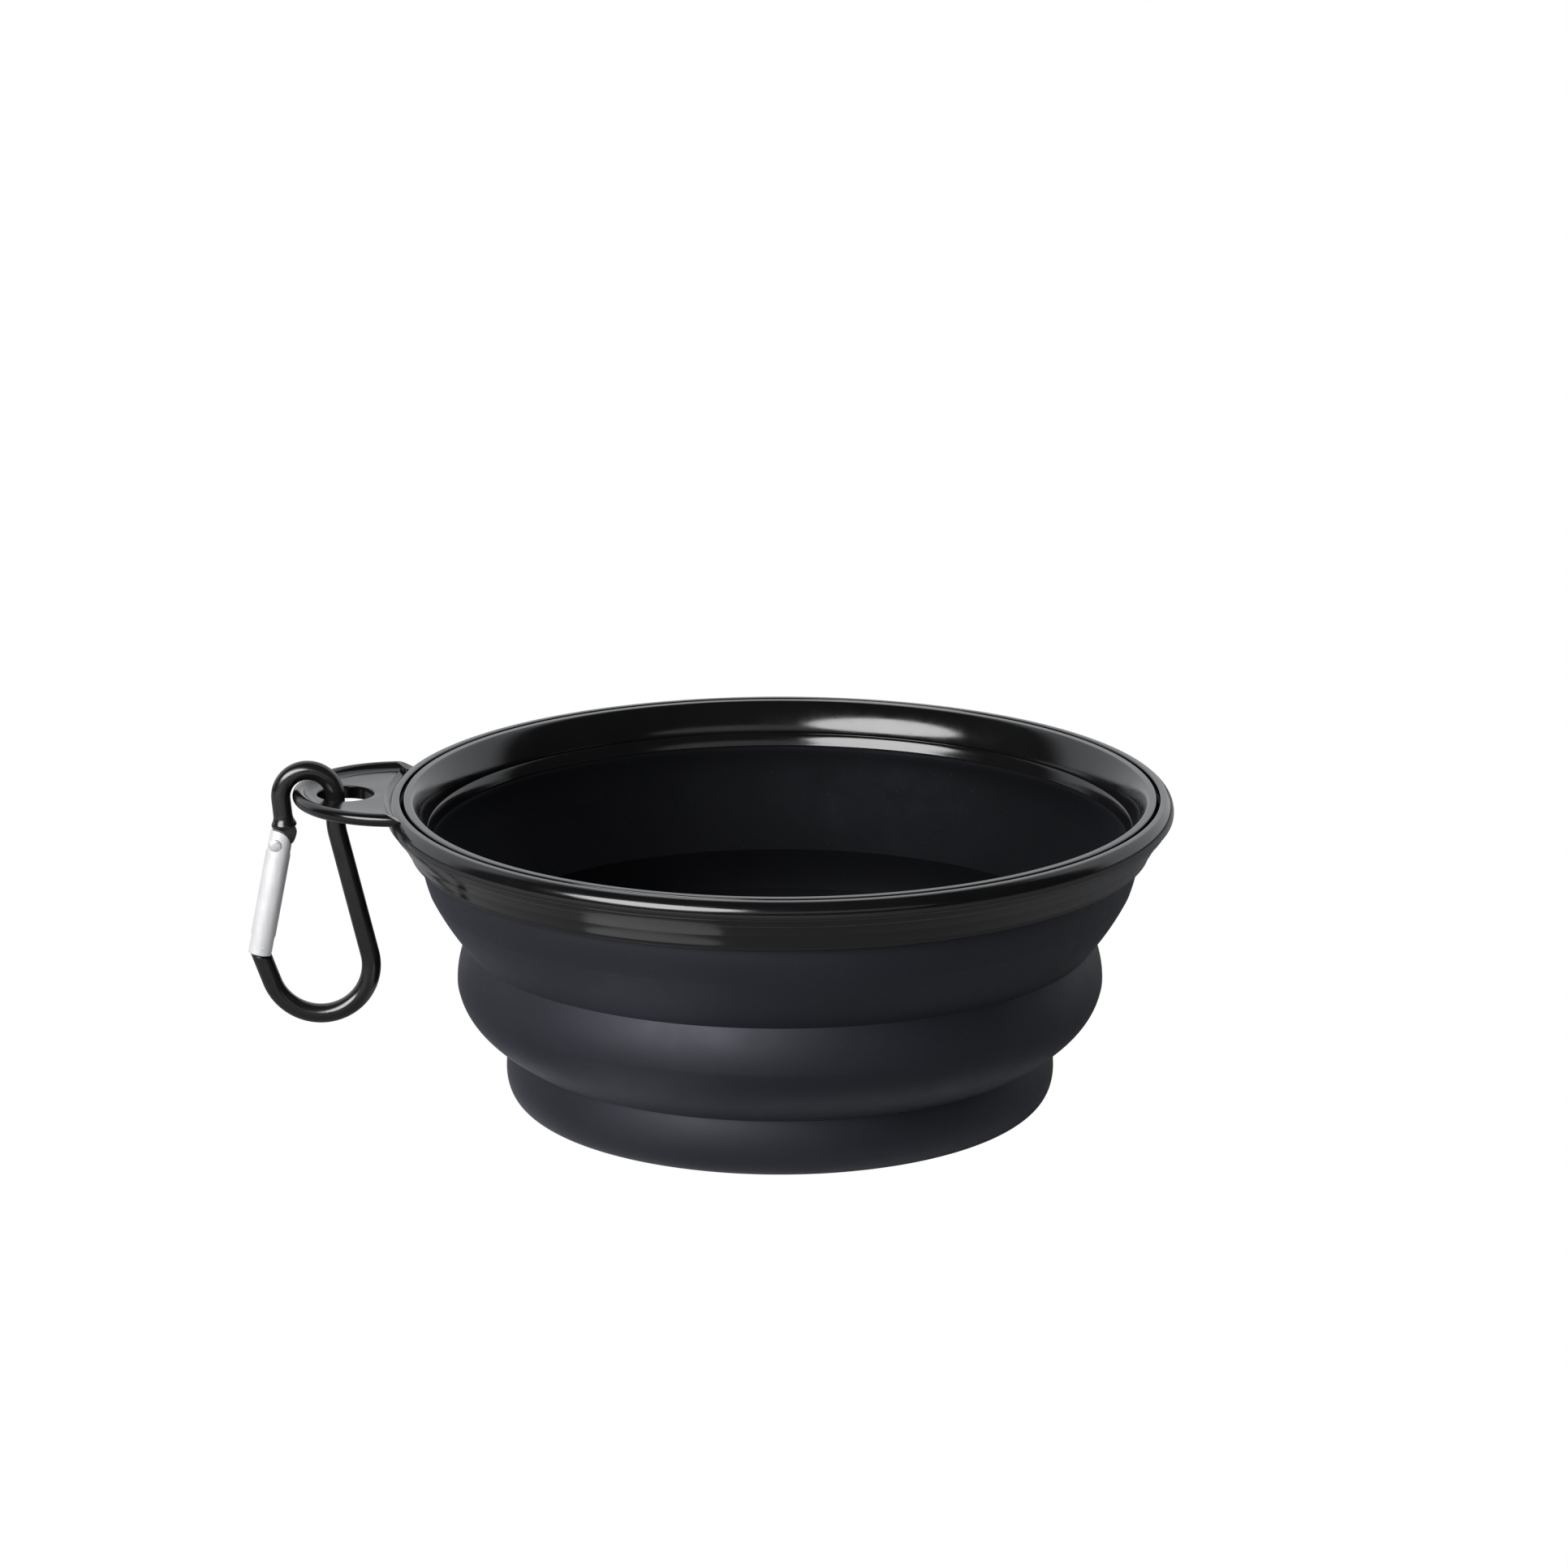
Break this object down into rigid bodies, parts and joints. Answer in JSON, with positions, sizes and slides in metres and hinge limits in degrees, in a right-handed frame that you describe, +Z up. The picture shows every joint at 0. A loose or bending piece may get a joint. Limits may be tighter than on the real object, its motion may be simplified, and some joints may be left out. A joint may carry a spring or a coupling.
{
  "type": "collapsible pet bowl",
  "caption": "Round folding bowl: a stiff rim with a side ear grips a soft stepped wall whose tiers nest when pressed flat, and a snap hook hangs from the ear.",
  "frame": {"origin": "middle of the resting face under the base", "axes": "+Z up towards the mouth, -X towards the ear and the hook, which lie in the XZ plane"},
  "size_m": [0.1534, 0.13, 0.058],
  "materials": {
    "rim_plastic": "gloss",
    "soft_wall": "matte",
    "hook_black": "black anodised, gloss",
    "gate_metal": "bright anodised, satin",
    "pin_steel": "bright steel"
  },
  "bodies": {
    "rim": {"rim_ring": "rim_plastic", "clamp_ring": "rim_plastic", "upper_band": "soft_wall"},
    "upper_web": {"upper_web": "soft_wall"},
    "middle": {"middle_band": "soft_wall"},
    "lower_web": {"lower_web": "soft_wall"},
    "base": {"base_cup": "soft_wall"},
    "hook": {"hook_body": "hook_black"},
    "gate": {"gate": "gate_metal", "gate_hinge_pin": "pin_steel", "gate_latch_pin": "pin_steel", "gate_spring": "pin_steel"}
  },
  "joints": [
    {"name": "upper_fold", "type": "slide", "parent": "rim", "child": "middle", "axis": [0, 0, 1], "range_m": [0, 0.01836], "deforming": ["upper_web"]},
    {"name": "upper_web_roll", "type": "slide", "parent": "rim", "child": "upper_web", "axis": [0, 0, 1], "range_m": [0, 0.00918], "deforming": ["upper_web"]},
    {"name": "lower_fold", "type": "slide", "parent": "middle", "child": "base", "axis": [0, 0, 1], "range_m": [0, 0.02074], "deforming": ["lower_web"]},
    {"name": "lower_web_roll", "type": "slide", "parent": "middle", "child": "lower_web", "axis": [0, 0, 1], "range_m": [0, 0.01037], "deforming": ["lower_web"]},
    {"name": "hook_swing", "type": "hinge", "parent": "rim", "child": "hook", "pos_m": [-0.07796, 0, 0.05188], "axis": [0, 1, 0], "range_deg": [-25, 100]},
    {"name": "gate_open", "type": "hinge", "parent": "hook", "child": "gate", "pos_m": [-0.0834, 0, 0.04401], "axis": [0, -1, 0], "range_deg": [0, 35], "stiffness_Nm_per_rad": 0.01, "springref_deg": -45.84}
  ],
  "couplings": [
    {"joint": "upper_web_roll", "follows": "upper_fold", "ratio": 0.5},
    {"joint": "lower_web_roll", "follows": "lower_fold", "ratio": 0.5}
  ]
}
